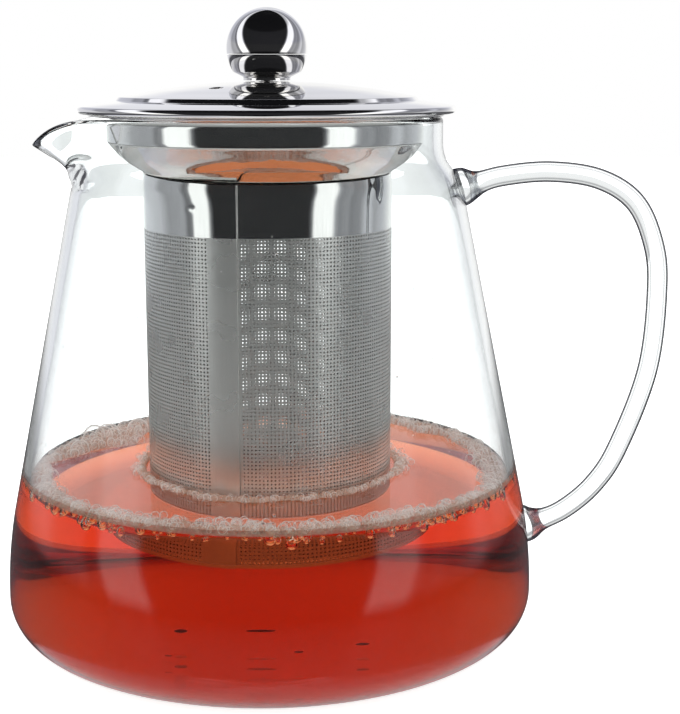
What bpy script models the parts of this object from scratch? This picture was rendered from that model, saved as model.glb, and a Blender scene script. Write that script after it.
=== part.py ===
"""Glass teapot with a lift-out steel infuser and a domed steel lid.

The pot is a thin turned glass shell with a beak drawn out of its rim and a bent glass rod as its
handle. The infuser hangs in the mouth by its flange and the lid stands on that flange.
Frame: metres, +Z up, origin on the pot's axis at the surface it stands on, handle towards +X,
beak towards -X.
"""

import math

import bmesh
import bpy
from mathutils import Vector

MM = 0.001
GAP = 0.3 * MM  # between pieces that touch
STEEL_STEPS = 40  # round a turned steel piece
SMALL_STEPS = 24  # round the knob and what is inside it

# Pot
WALL = 2.3 * MM
FOOT_RADIUS = 57.8 * MM
HEEL_RADIUS = 10.6 * MM  # rounding between the foot and the side
BELLY_ARC_RADIUS = 116.0 * MM
LEAN = math.radians(11.6)  # of the straight side, from vertical
SHOULDER_Z = 113.0 * MM
SHOULDER_PULL = 0.55  # of the shoulder's height, for both ends of its double curve
SIDE_RING_HEIGHTS = (85.0 * MM, 58.0 * MM)
NECK_RADIUS = 44.2 * MM
NECK_Z = 126.5 * MM
RIM_Z = 132.3 * MM
RIM_ROUNDING = 0.7 * MM
POT_STEPS = 56

# Beak: its two sides leave the neck as tangents and meet at the tip
BEAK_REACH = 60.2 * MM
BEAK_DROP = 7.0 * MM  # of the tip, below the rim
BEAK_ROOT_Z = 115.5 * MM
BEAK_TIP_SOFTNESS = math.radians(5.0)
BEAK_DROP_POWER = 1.6

# Handle: a bent rod in the XZ plane, its centre line from the upper joint to the lower one
ROD_RADIUS = 2.65 * MM
PAD_SCALE = 1.8  # the rod's ends spread to this many rod radii
PAD_CLEARANCE = 0.4 * MM
UPPER_JOINT_Z = 114.6 * MM
LOWER_JOINT_Z = 25.5 * MM
HANDLE_BENDS = [
    (59.5, 117.3), (71.6, 118.4), (84.0, 116.6), (93.2, 111.0), (98.2, 101.3), (100.0, 89.4),
    (98.4, 67.5), (91.3, 46.4), (85.2, 36.2), (77.4, 29.3),
]  # x and z in millimetres

# Infuser, heights measured from the underside of its flange
SHEET = 0.6 * MM
FLANGE_RADIUS = 44.8 * MM
COLLAR_RADIUS = 39.4 * MM
FLANGE_BEND = 0.8 * MM
COLLAR_DEPTH = 6.5 * MM
CONE_DEPTH = 15.2 * MM
BASKET_RADIUS = 31.5 * MM
BASKET_SHEET = 0.45 * MM
BASKET_DEPTH = 107.6 * MM
SPIGOT_DEPTH = 6.0 * MM  # of the cone's and the base's rings inside the basket wall
BASE_CORNER = 1.6 * MM
LAP_FROM = math.radians(-22.8)  # the sheet's two ends overlap here, from the front towards +X
LAP_TO = math.radians(-10.6)
LAP_RISE = 0.7 * MM
LAP_RAMP = math.radians(30.0)
WALL_COLUMNS = 48

# Lid, heights measured from the underside of its plug ring's flange
PLUG_RADIUS = 38.2 * MM
PLUG_DEPTH = 6.5 * MM
PLUG_FLANGE_RADIUS = 44.0 * MM
PLUG_BEND = 0.9 * MM
PLUG_SHEET = 0.8 * MM
COVER_RADIUS = 47.5 * MM
COVER_EDGE_Z = 1.65 * MM
COVER_DROP = 1.15 * MM  # of the brim, from the dome to its edge
DOME_RADIUS = 38.2 * MM
DOME_STEP = 0.8 * MM
DOME_RISE = 3.9 * MM
LIP_RADIUS = 1.0 * MM
SCREW_HOLE_RADIUS = 2.4 * MM
VENT_RADIUS = 1.7 * MM
VENT_AT = (-11.1 * MM, -20.0 * MM)
VENT_CUTTER_DEPTH = 12.0 * MM
VENT_CUTTER_STEPS = 20

# Knob, heights measured from the centre of its ball
BALL_RADIUS = 10.2 * MM
BALL_ABOVE_DOME = 7.9 * MM
BALL_SHEET = 0.5 * MM
SEAM_BELOW_CENTRE = 1.2 * MM
NECK_KNOB_RADIUS = 6.0 * MM
THROAT_BELOW_CENTRE = 5.7 * MM
KNOB_NECK_HEIGHT = 0.4 * MM
BOSS_RADIUS = 5.1 * MM
BOSS_HEIGHT = 4.0 * MM
SCREW_RADIUS = 1.6 * MM
SCREW_TIP_CHAMFER = 0.4 * MM
SCREW_HEAD_RADIUS = 3.5 * MM
SCREW_HEAD_HEIGHT = 2.2 * MM
SCREW_HEAD_CHAMFER = 0.8 * MM
WASHER_RADIUS = 6.0 * MM
WASHER_THICKNESS = 0.8 * MM

INFUSER_SEAT_Z = RIM_Z + GAP
LID_SEAT_Z = INFUSER_SEAT_Z + SHEET + GAP
DOME_FOOT_Z = COVER_EDGE_Z + COVER_DROP + DOME_STEP
DOME_TOP_Z = DOME_FOOT_Z + DOME_RISE
BALL_Z = DOME_TOP_Z + BALL_ABOVE_DOME

PARTS = "teapot_with_infuser"
CUTTERS = "cutters"


def clear_scene():
    for obj in list(bpy.data.objects):
        bpy.data.objects.remove(obj)


def new_collection(name):
    collection = bpy.data.collections.new(name)
    bpy.context.scene.collection.children.link(collection)
    return collection


def new_material(name, colour, metallic, roughness, transmission=0.0):
    material = bpy.data.materials.new(name)
    material.use_nodes = True
    shader = material.node_tree.nodes["Principled BSDF"]
    shader.inputs["Base Color"].default_value = (*colour, 1.0)
    shader.inputs["Metallic"].default_value = metallic
    shader.inputs["Roughness"].default_value = roughness
    shader.inputs["Transmission Weight"].default_value = transmission
    return material


def add_part(name, data, material, parent, location=(0, 0, 0)):
    obj = bpy.data.objects.new(name, data)
    data.materials.append(material)
    bpy.data.collections[PARTS].objects.link(obj)
    obj.parent = parent
    obj.location = location
    return obj


def add_empty(name, parent=None, z=0.0):
    empty = bpy.data.objects.new(name, None)
    bpy.data.collections[PARTS].objects.link(empty)
    empty.parent = parent
    empty.location = (0, 0, z)
    return empty


def arc(centre, radius, start, end, count):
    """Points on a circle in the XZ plane, angles in degrees from +X towards +Z."""
    angles = [math.radians(start + (end - start) * i / count) for i in range(count + 1)]
    return [(centre[0] + radius * math.cos(a), centre[1] + radius * math.sin(a)) for a in angles]


def line_mesh(name, points, closed=False):
    mesh = bpy.data.meshes.new(name)
    edges = [(i, i + 1) for i in range(len(points) - 1)]
    if closed:
        edges.append((len(points) - 1, 0))
    mesh.from_pydata([(x, 0, z) for x, z in points], edges, [])
    return mesh


def add_turned(name, points, material, parent, z=0.0, steps=STEEL_STEPS, sheet=None, closed=False):
    """A profile turned about Z; with a sheet thickness it is a skin that thickens inwards."""
    obj = add_part(name, line_mesh(name, points, closed), material, parent, (0, 0, z))
    screw = obj.modifiers.new("turn", "SCREW")
    screw.steps = screw.render_steps = steps
    screw.use_merge_vertices = True
    screw.merge_threshold = 1e-5
    screw.use_smooth_shade = True
    if sheet:
        add_thickness(obj, sheet)
    return obj


def add_thickness(obj, thickness):
    solidify = obj.modifiers.new("thickness", "SOLIDIFY")
    solidify.thickness = thickness
    solidify.offset = -1
    solidify.use_even_offset = True


def apply_modifiers(obj):
    evaluated = obj.evaluated_get(bpy.context.evaluated_depsgraph_get())
    mesh = bpy.data.meshes.new_from_object(evaluated)
    obj.modifiers.clear()
    obj.data = mesh


def side_radius(z):
    """Outer radius of the pot's straight side at a height."""
    arc_end = HEEL_RADIUS + BELLY_ARC_RADIUS * math.sin(LEAN)
    arc_end_radius = FOOT_RADIUS + HEEL_RADIUS - BELLY_ARC_RADIUS * (1 - math.cos(LEAN))
    return arc_end_radius - (z - arc_end) * math.tan(LEAN)


def wall_radius(z):
    """Outer radius of the pot anywhere between the heel and the shoulder."""
    if z > HEEL_RADIUS + BELLY_ARC_RADIUS * math.sin(LEAN):
        return side_radius(z)
    inset = BELLY_ARC_RADIUS - math.sqrt(BELLY_ARC_RADIUS**2 - (z - HEEL_RADIUS) ** 2)
    return FOOT_RADIUS + HEEL_RADIUS - inset


def shoulder_points(count=6):
    """The double curve from the neck out to the straight side, as a cubic."""
    top = Vector((NECK_RADIUS, NECK_Z))
    foot = Vector((side_radius(SHOULDER_Z), SHOULDER_Z))
    pull = SHOULDER_PULL * (NECK_Z - SHOULDER_Z)
    a = top - Vector((0, pull))
    b = foot + Vector((-math.sin(LEAN), math.cos(LEAN))) * pull
    points = []
    for i in range(count + 1):
        t = i / count
        p = (1 - t) ** 3 * top + 3 * t * (1 - t) ** 2 * a + 3 * t * t * (1 - t) * b + t**3 * foot
        points.append((p.x, p.y))
    return points


def pot_outline():
    """The pot's outer skin from the rim down to the middle of the underside."""
    belly = (FOOT_RADIUS + HEEL_RADIUS - BELLY_ARC_RADIUS, HEEL_RADIUS)
    heel = (FOOT_RADIUS, HEEL_RADIUS)
    return (
        [(NECK_RADIUS, RIM_Z), (NECK_RADIUS, (RIM_Z + NECK_Z) / 2)]
        + shoulder_points()
        + [(side_radius(z), z) for z in SIDE_RING_HEIGHTS]
        + arc(belly, BELLY_ARC_RADIUS, math.degrees(LEAN), 0, 3)
        + arc(heel, HEEL_RADIUS, 0, -90, 5)[1:]
        + [(0.0, 0.0)]
    )


def draw_beak(mesh):
    """Pull the wall above the shoulder out to tangents that meet at the tip, and lower the tip."""
    half_width = math.acos(NECK_RADIUS / BEAK_REACH)
    for vertex in mesh.vertices:
        x, y, z = vertex.co
        share = (z - BEAK_ROOT_Z) / (RIM_Z - BEAK_ROOT_Z)
        turn = math.hypot(math.atan2(y, -x), BEAK_TIP_SOFTNESS) - BEAK_TIP_SOFTNESS
        if share <= 0 or turn >= half_width:
            continue
        reach = NECK_RADIUS / math.cos(half_width - turn) - NECK_RADIUS
        lowered = (reach / (BEAK_REACH - NECK_RADIUS)) ** BEAK_DROP_POWER
        scale = 1 + share * reach / math.hypot(x, y)
        vertex.co = (x * scale, y * scale, z - share * BEAK_DROP * lowered)


def make_pot(parent, glass):
    pot = add_turned("glass_body", pot_outline(), glass, parent, steps=POT_STEPS)
    apply_modifiers(pot)
    draw_beak(pot.data)
    add_thickness(pot, WALL)
    bevel = pot.modifiers.new("fire_polished_rim", "BEVEL")
    bevel.width = RIM_ROUNDING
    bevel.segments = 2
    bevel.limit_method = "ANGLE"
    bevel.angle_limit = math.radians(60)


def make_handle(parent, glass):
    """A glass rod whose ends spread into the pads that fuse it to the wall."""
    curve = bpy.data.curves.new("glass_handle", "CURVE")
    curve.dimensions = "3D"
    curve.bevel_depth = ROD_RADIUS
    curve.bevel_resolution = 2
    curve.resolution_u = 4
    curve.use_fill_caps = True
    upper = Vector((side_radius(UPPER_JOINT_Z) + PAD_CLEARANCE, 0, UPPER_JOINT_Z))
    lower = Vector((wall_radius(LOWER_JOINT_Z) + PAD_CLEARANCE, 0, LOWER_JOINT_Z))
    bends = [Vector((x * MM, 0, z * MM)) for x, z in HANDLE_BENDS]
    out_of_wall = Vector((math.cos(LEAN), 0, math.sin(LEAN))) * ROD_RADIUS
    route = [upper, upper + out_of_wall] + bends + [lower + out_of_wall, lower]
    spline = curve.splines.new("BEZIER")
    spline.bezier_points.add(len(route) - 1)
    for point, place in zip(spline.bezier_points, route):
        point.co = place
        point.handle_left_type = point.handle_right_type = "AUTO"
    spline.bezier_points[0].radius = spline.bezier_points[-1].radius = PAD_SCALE
    add_part("glass_handle", curve, glass, parent)


def make_infuser_rim(parent, steel):
    """Flange, collar and cone pressed from one sheet, with a spigot that enters the basket."""
    spigot_radius = BASKET_RADIUS - BASKET_SHEET - GAP
    points = (
        [(FLANGE_RADIUS, 0.0)]
        + arc((COLLAR_RADIUS + FLANGE_BEND, -FLANGE_BEND), FLANGE_BEND, 90, 180, 2)
        + [
            (COLLAR_RADIUS, -COLLAR_DEPTH),
            (BASKET_RADIUS, -CONE_DEPTH),
            (spigot_radius, -CONE_DEPTH - GAP),
            (spigot_radius, -CONE_DEPTH - SPIGOT_DEPTH),
        ]
    )
    add_turned("infuser_rim", points, steel, parent, sheet=SHEET)


def make_basket_wall(parent, steel):
    """A rolled sheet whose outer end laps over its inner end in a plain strip down the front."""
    top, bottom = -CONE_DEPTH - GAP, -BASKET_DEPTH
    sweep = 2 * math.pi + LAP_TO - LAP_FROM
    builder = bmesh.new()
    rows = []
    for i in range(WALL_COLUMNS + 1):
        turned = sweep * i / WALL_COLUMNS
        ramp = min(max((turned - (2 * math.pi - LAP_RAMP)) / LAP_RAMP, 0), 1)
        radius = BASKET_RADIUS + LAP_RISE * ramp
        angle = LAP_FROM + turned - math.pi / 2
        x, y = radius * math.cos(angle), radius * math.sin(angle)
        rows.append([builder.verts.new((x, y, z)) for z in (top, bottom)])
    for left, right in zip(rows, rows[1:]):
        builder.faces.new((left[0], left[1], right[1], right[0]))
    mesh = bpy.data.meshes.new("basket_wall")
    builder.to_mesh(mesh)
    builder.free()
    mesh.shade_smooth()
    wall = add_part("basket_wall", mesh, steel, parent)
    add_thickness(wall, BASKET_SHEET)


def make_basket_base(parent, steel):
    """A shallow pressed cup whose side stands inside the basket wall."""
    radius = BASKET_RADIUS - BASKET_SHEET - GAP
    floor = -BASKET_DEPTH
    corner = (radius - BASE_CORNER, floor + BASE_CORNER)
    points = [(radius, floor + SPIGOT_DEPTH)] + arc(corner, BASE_CORNER, 0, -90, 3) + [(0.0, floor)]
    add_turned("basket_base", points, steel, parent, sheet=BASKET_SHEET)


def dome_height(radius):
    return DOME_TOP_Z - DOME_RISE * (radius / DOME_RADIUS) ** 2


def make_lid_cover(parent, steel):
    """Dome, step and brim with a turned-under lip, pierced for the screw and the steam vent."""
    lip = (COVER_RADIUS - LIP_RADIUS, COVER_EDGE_Z - LIP_RADIUS)
    dome_edge = DOME_RADIUS - DOME_STEP
    dome = [SCREW_HOLE_RADIUS + (dome_edge - SCREW_HOLE_RADIUS) * i / 4 for i in range(5)]
    points = (
        [(r, dome_height(r)) for r in dome]
        + [(DOME_RADIUS, DOME_FOOT_Z - DOME_STEP)]
        + arc(lip, LIP_RADIUS, 80, -50, 4)
    )
    cover = add_turned("lid_cover", points, steel, parent, sheet=SHEET)
    bpy.ops.mesh.primitive_cylinder_add(
        radius=VENT_RADIUS, depth=VENT_CUTTER_DEPTH, vertices=VENT_CUTTER_STEPS
    )
    vent = bpy.context.object
    vent.name = "vent_cutter"
    vent.parent = parent
    vent.location = (*VENT_AT, DOME_FOOT_Z)
    vent.hide_render = True
    vent.display_type = "WIRE"
    for collection in list(vent.users_collection):
        collection.objects.unlink(vent)
    bpy.data.collections[CUTTERS].objects.link(vent)
    pierce = cover.modifiers.new("vent", "BOOLEAN")
    pierce.object = vent
    pierce.operation = "DIFFERENCE"


def make_lid_ring(parent, steel):
    """The plug that centres the lid in the collar, with the flange the lid stands on."""
    points = (
        [(PLUG_FLANGE_RADIUS, 0.0)]
        + arc((PLUG_RADIUS + PLUG_BEND, -PLUG_BEND), PLUG_BEND, 90, 180, 2)
        + [(PLUG_RADIUS, -PLUG_DEPTH)]
    )
    add_turned("lid_ring", points, steel, parent, sheet=PLUG_SHEET)


def make_knob(parent, polished, steel):
    """A hollow ball of two shells on a short neck, held by a screw from under the lid."""
    seam = -math.degrees(math.asin(SEAM_BELOW_CENTRE / BALL_RADIUS))
    seam_gap = -math.degrees(math.asin((SEAM_BELOW_CENTRE + GAP) / BALL_RADIUS))
    throat = -math.degrees(math.asin(THROAT_BELOW_CENTRE / BALL_RADIUS))
    neck_z = dome_height(NECK_KNOB_RADIUS) + GAP - BALL_Z
    cap = arc((0, 0), BALL_RADIUS, 90, seam, 6)
    bowl = arc((0, 0), BALL_RADIUS, seam_gap, throat, 4)
    bowl += [(NECK_KNOB_RADIUS, neck_z + KNOB_NECK_HEIGHT), (NECK_KNOB_RADIUS, neck_z)]
    add_turned("knob_cap", cap, polished, parent, BALL_Z, SMALL_STEPS, BALL_SHEET)
    add_turned("knob_bowl", bowl, polished, parent, BALL_Z, SMALL_STEPS, BALL_SHEET)

    hole = SCREW_RADIUS + GAP
    low, high = neck_z + GAP, neck_z + GAP + BOSS_HEIGHT
    boss = [(hole, high), (BOSS_RADIUS, high), (BOSS_RADIUS, low), (hole, low)]
    add_turned("knob_boss", boss, steel, parent, BALL_Z, SMALL_STEPS, closed=True)

    washer_top = DOME_TOP_Z - SHEET - 2 * GAP
    low = washer_top - WASHER_THICKNESS
    washer = [(hole, washer_top), (WASHER_RADIUS, washer_top), (WASHER_RADIUS, low), (hole, low)]
    add_turned("lid_washer", washer, steel, parent, 0.0, SMALL_STEPS, closed=True)

    head_top = low - GAP
    head_low = head_top - SCREW_HEAD_HEIGHT
    tip = BALL_Z + neck_z + BOSS_HEIGHT
    screw = [
        (0.0, tip),
        (SCREW_RADIUS - SCREW_TIP_CHAMFER, tip),
        (SCREW_RADIUS, tip - SCREW_TIP_CHAMFER),
        (SCREW_RADIUS, head_top),
        (SCREW_HEAD_RADIUS, head_top),
        (SCREW_HEAD_RADIUS, head_low + SCREW_HEAD_CHAMFER),
        (SCREW_HEAD_RADIUS - SCREW_HEAD_CHAMFER, head_low),
        (0.0, head_low),
    ]
    add_turned("lid_screw", screw, steel, parent, 0.0, SMALL_STEPS)


def main():
    clear_scene()
    new_collection(PARTS)
    new_collection(CUTTERS)
    glass = new_material("borosilicate_glass", (0.93, 0.96, 0.96), 0.0, 0.02, 1.0)
    satin = new_material("satin_stainless_steel", (0.62, 0.62, 0.63), 1.0, 0.25)
    polished = new_material("polished_stainless_steel", (0.78, 0.78, 0.79), 1.0, 0.06)

    pot = add_empty("pot")
    make_pot(pot, glass)
    make_handle(pot, glass)

    infuser = add_empty("infuser", pot, INFUSER_SEAT_Z)
    make_infuser_rim(infuser, polished)
    make_basket_wall(infuser, satin)
    make_basket_base(infuser, satin)

    lid = add_empty("lid", infuser, LID_SEAT_Z - INFUSER_SEAT_Z)
    make_lid_cover(lid, polished)
    make_lid_ring(lid, satin)
    make_knob(lid, polished, satin)


main()
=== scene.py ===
import math

import bpy
import numpy as np
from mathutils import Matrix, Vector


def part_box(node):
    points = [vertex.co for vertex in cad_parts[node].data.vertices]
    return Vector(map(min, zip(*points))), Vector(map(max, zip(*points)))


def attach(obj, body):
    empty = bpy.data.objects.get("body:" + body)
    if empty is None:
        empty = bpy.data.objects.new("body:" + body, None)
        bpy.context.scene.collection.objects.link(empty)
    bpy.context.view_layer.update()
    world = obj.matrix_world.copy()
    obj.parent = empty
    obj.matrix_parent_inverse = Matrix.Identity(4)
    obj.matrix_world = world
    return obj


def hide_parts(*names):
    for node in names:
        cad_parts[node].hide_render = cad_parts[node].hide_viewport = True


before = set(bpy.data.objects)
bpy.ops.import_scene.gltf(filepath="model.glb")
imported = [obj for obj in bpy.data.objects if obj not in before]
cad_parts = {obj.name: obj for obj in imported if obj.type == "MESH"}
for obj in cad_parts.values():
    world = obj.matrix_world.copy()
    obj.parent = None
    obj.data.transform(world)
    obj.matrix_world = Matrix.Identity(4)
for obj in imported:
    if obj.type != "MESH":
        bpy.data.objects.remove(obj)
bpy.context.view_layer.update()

# Clear glass teapot with a beak, a lift-out perforated infuser, a domed lid, tea and foam.
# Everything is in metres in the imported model's frame: Z up, handle towards +X, beak towards -X.

mm = 0.001
scene = bpy.context.scene


# Shared helpers

def linear(hexColour, alpha=1.0):
    # sRGB hex to the linear values that the shaders want
    parts = [int(hexColour[i:i + 2], 16) / 255 for i in (1, 3, 5)]
    return (*[c / 12.92 if c <= 0.04045 else ((c + 0.055) / 1.055) ** 2.4 for c in parts], alpha)


def addNode(tree, kind, values=None):
    # one node: each value goes to the input of that name, linked where it is another node's output, and
    # to the node's option of that name where there is no such input
    node = tree.nodes.new("ShaderNode" + kind)
    for name, value in (values or {}).items():
        if not isinstance(name, int) and name not in node.inputs:
            setattr(node, name, value)
        elif isinstance(value, bpy.types.NodeSocket):
            tree.links.new(value, node.inputs[name])
        else:
            node.inputs[name].default_value = value
    return node


def newMaterial(name):
    # an empty material, its tree and the object's own coordinates
    material = bpy.data.materials.new(name)
    material.use_nodes = True
    tree = material.node_tree
    tree.nodes.clear()
    return material, tree, addNode(tree, "TexCoord").outputs["Object"]


def closeMaterial(material, surface, volume=None):
    ends = {"Surface": surface, "Volume": volume} if volume else {"Surface": surface}
    addNode(material.node_tree, "OutputMaterial", ends)
    return material


def addPiece(name, points, faces, material, body, nodes=(), slotName=None, closed=True, sharp=35):
    # faces is a list of index arrays, three or four columns each; closed shells are turned to face out
    points = np.asarray(points, float)
    faces = [np.asarray(f, np.int64) for f in faces if len(f)]
    if closed:
        volume = 0.0
        for f in faces:
            for k in range(1, f.shape[1] - 1):
                a, b, c = points[f[:, 0]], points[f[:, k]], points[f[:, k + 1]]
                volume += np.einsum("ij,ij->i", a, np.cross(b, c)).sum()
        if volume < 0:
            faces = [f[:, ::-1] for f in faces]
    counts = np.concatenate([np.full(len(f), f.shape[1]) for f in faces])
    corners = np.concatenate([f.ravel() for f in faces])
    mesh = bpy.data.meshes.new(name)
    mesh.vertices.add(len(points))
    mesh.vertices.foreach_set("co", points.astype(np.float32).ravel())
    mesh.loops.add(len(corners))
    mesh.loops.foreach_set("vertex_index", corners.astype(np.int32))
    mesh.polygons.add(len(counts))
    starts = np.concatenate([[0], np.cumsum(counts)[:-1]])
    mesh.polygons.foreach_set("loop_start", starts.astype(np.int32))
    mesh.update(calc_edges=True)
    mesh.validate()
    mesh.shade_smooth()
    if sharp:
        mesh.set_sharp_from_angle(angle=math.radians(sharp))
    mesh.materials.append(material)
    piece = bpy.data.objects.new(name, mesh)
    scene.collection.objects.link(piece)
    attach(piece, body)
    if nodes:
        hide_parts(*nodes)
    return piece


def gridQuads(index):
    # quads between neighbouring rows and columns of an index grid
    return np.stack([index[:-1, :-1], index[1:, :-1], index[1:, 1:], index[:-1, 1:]], -1)


def closedGrid(index):
    # the first column again after the last one
    return np.concatenate([index, index[:, :1]], 1)


def gridFaces(index):
    # the same; a quad that has lost a corner at a pole becomes a triangle
    quads = gridQuads(index).reshape(-1, 4)
    topLost = quads[:, 0] == quads[:, 3]
    lowLost = quads[:, 1] == quads[:, 2]
    return [quads[~topLost & ~lowLost], quads[topLost][:, :3], quads[lowLost][:, [0, 1, 3]]]


def turned(profile, steps, closed=False, first=0.0):
    # (radius, height) points carried round Z: x = r cos a, y = r sin a; a point on the axis is one vertex
    profile = np.asarray(profile, float)
    angles = first + np.arange(steps) * 2 * math.pi / steps
    onAxis = profile[:, 0] < 1e-9
    sizes = np.where(onAxis, 1, steps)
    starts = np.concatenate([[0], np.cumsum(sizes)[:-1]])
    index = starts[:, None] + np.where(onAxis[:, None], 0, np.arange(steps)[None, :])
    radius = np.repeat(profile[:, 0], sizes)
    height = np.repeat(profile[:, 1], sizes)
    turn = np.concatenate([angles[:n] for n in sizes])
    points = np.stack([radius * np.cos(turn), radius * np.sin(turn), height], -1)
    index = closedGrid(index)
    if closed:
        index = np.concatenate([index, index[:1]], 0)
    return points, gridFaces(index)


def arcPoints(centre, radius, start, end, count):
    # points on a circle, angles in degrees from the radial axis towards up
    a = np.radians(np.linspace(start, end, count))
    return np.stack([centre[0] + radius * np.cos(a), centre[1] + radius * np.sin(a)], -1)


def roundedPath(corners, radii, count=7):
    # a bent line: each inner corner is replaced by an arc of its radius that touches both sides
    corners = np.asarray(corners, float)
    parts = [corners[:1]]
    for before, at, after, radius in zip(corners, corners[1:], corners[2:], radii):
        a, b = before - at, after - at
        a, b = a / np.linalg.norm(a), b / np.linalg.norm(b)
        half = math.acos(np.clip(a @ b, -1, 1)) / 2
        back = radius / math.tan(half)
        middle = (a + b) / np.linalg.norm(a + b)
        centre = at + middle * radius / math.sin(half)
        p, q = at + a * back - centre, at + b * back - centre
        t = np.linspace(0, 1, count)[:, None]
        between = math.acos(np.clip(p @ q / radius**2, -1, 1))
        parts.append(centre + (np.sin((1 - t) * between) * p + np.sin(t * between) * q) / math.sin(between))
    parts.append(corners[-1:])
    return np.concatenate(parts)


def normals2d(path):
    # unit normals to the left of a line's direction
    step = np.gradient(path, axis=0)
    step /= np.linalg.norm(step, axis=1)[:, None]
    return np.stack([-step[:, 1], step[:, 0]], -1)


def sheetLoop(path, thickness, endSteps=5):
    # a sheet's section: the path, its copy one thickness to the left, and a half circle at each open end
    left = normals2d(path)
    other = path + left * thickness
    halves = []
    for end, side, out in ((-1, left[-1], 1), (0, left[0], -1)):
        along = np.array([side[1], -side[0]]) * out
        middle = (path[end] + other[end]) / 2
        a = np.linspace(0, math.pi, endSteps + 2)[1:-1][:, None]
        start = -side if out > 0 else side
        halves.append(middle + (start * np.cos(a) + along * np.sin(a)) * thickness / 2)
    return np.concatenate([path, halves[0], other[::-1], halves[1]])


def subdivided(path, spacing):
    # the same line with points no further apart than spacing
    gaps = np.linalg.norm(np.diff(path, axis=0), axis=1)
    counts = np.maximum(1, np.ceil(gaps / spacing).astype(int))
    parts = [a + (b - a) * np.arange(n)[:, None] / n for a, b, n in zip(path, path[1:], counts)]
    return np.concatenate(parts + [path[-1:]])


# Materials

finishes = {
    # painted shade on glass edges: how dark the glass is painted, against how far its surface has turned away
    # from the eye, standing in for the dark surroundings that the edges bend and mirror
    "bodyEdgeShade": [(0.0, 0.0), (0.7, 0.0), (0.84, 0.12), (0.93, 0.35), (1.0, 0.7)],
    "rodEdgeShade": [(0.0, 0.03), (0.1, 0.05), (0.16, 0.12), (0.2, 0.5), (0.28, 0.5), (0.33, 0.1),
                (0.4, 0.12), (0.48, 0.85), (1.0, 0.95)],
    "glassIor": 1.47,
    "glassWave": 14.0,       # mm between the slow waves of hand-finished glass
    "glassDensity": 3.5,
    "glassColour": (0.40, 0.48, 0.52, 1.0),
    "teaIor": 1.333,
    "teaRipple": 22.0,       # mm between the slow waves of its surface
    "teaDensity": 56.0,
    "teaColour": (0.905, 0.41, 0.02, 1.0),
    "mirrorRoughness": 0.035,
    "mirrorRings": 24.0,     # mm, sets how close the buffing rings lie
    "rolledRoughness": 0.12,
    "rolledCloud": 9.0,      # mm between duller places
    "grainSpacing": 0.35,    # mm between rolling lines
    "foamTints": ("#f0dccf", "#d2ab96"),
    "foamCell": 0.8,         # mm
    "foamCover": 0.45,       # share of the light that foam stops
    "filmShine": 0.6,
    "perforatedRoughness": 0.28,
}


def rampOf(tree, stops, source, tint=(1.0, 1.0, 1.0)):
    # a colour ramp through (place, brightness) pairs; the tint colours all but the bright ones
    ramp = addNode(tree, "ValToRGB", {"Fac": source})
    points = ramp.color_ramp.elements
    for number, (at, level) in enumerate(stops):
        point = points[number] if number < 2 else points.new(at)
        point.position = at
        point.color = (*[level * c if level < 0.9 else level for c in tint], 1)
    return ramp.outputs["Color"]


def noise(tree, where, size, detail=2.0):
    # soft clouds about size mm wide
    return addNode(tree, "TexNoise", {"Scale": 1 / (size * mm), "Detail": detail,
                                      "Vector": where}).outputs["Fac"]


def colours(tree, blend, factor, first, second):
    return addNode(tree, "Mix", {"data_type": "RGBA", "blend_type": blend, "Factor": factor,
                                 "A": first, "B": second}).outputs["Result"]


def mixed(tree, factor, tints):
    return colours(tree, "MIX", factor, linear(tints[0]), linear(tints[1]))


def stretched(tree, value, low, high, start=0.0, end=1.0):
    # start to end of the value becomes low to high
    return addNode(tree, "MapRange", {"From Min": start, "From Max": end, "To Min": low,
                                      "To Max": high, "Value": value}).outputs["Result"]


def uneven(tree, height, strength, depth, invert=False):
    # normals of a surface with a relief of depth mm
    return addNode(tree, "Bump", {"Strength": strength, "Distance": depth * mm, "invert": invert,
                                  "Height": height}).outputs["Normal"]


def principled(tree, **values):
    # keyword names stand for the shader's inputs: baseColor is Base Color
    names = {"baseColor": "Base Color", "metallic": "Metallic", "roughness": "Roughness", "ior": "IOR",
             "normal": "Normal", "transmission": "Transmission Weight", "sheen": "Specular Tint",
             "specular": "Specular IOR Level", "glow": "Emission Strength", "glowColor": "Emission Color"}
    return addNode(tree, "BsdfPrincipled",
                   {names[name]: value for name, value in values.items()}).outputs["BSDF"]


def transparent(tree, tint="#ffffff"):
    return addNode(tree, "BsdfTransparent", {"Color": linear(tint)}).outputs["BSDF"]


def layered(tree, share, lower, upper):
    # two shaders with this share of the upper one
    return addNode(tree, "MixShader", {0: share, 1: lower, 2: upper}).outputs["Shader"]


def facing(tree):
    return addNode(tree, "LayerWeight", {"Blend": 0.5}).outputs["Facing"]


def absorbing(tree, colour, density):
    return addNode(tree, "VolumeAbsorption", {"Color": colour, "Density": density}).outputs["Volume"]


def borosilicateGlass(name, edgeShadeLevels):
    # blown and fire-polished borosilicate: clear, faintly wavy, so reflections swim a little, with
    # painted grey edge lines: a dark tint mixed in where the surface turns away, standing in for the dark
    # surroundings that the edges show
    material, tree, where = newMaterial(name)
    wave = noise(tree, where, finishes["glassWave"], detail=1.0)
    glass = principled(tree, ior=finishes["glassIor"], roughness=0.0, transmission=1.0,
                       sheen=(0.35, 0.35, 0.36, 1.0), baseColor=mixed(tree, wave, ("#f7fbfa", "#fcfefe")),
                       normal=uneven(tree, wave, strength=0.05, depth=0.4))
    # painted shade: the grey edge tint grows as the surface turns away from the eye
    edge = rampOf(tree, edgeShadeLevels, facing(tree))
    withPaintedEdges = layered(tree, edge, glass, transparent(tree, "#5e5f68"))
    return closeMaterial(material, withPaintedEdges, absorbing(tree, finishes["glassColour"], finishes["glassDensity"]))


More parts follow.
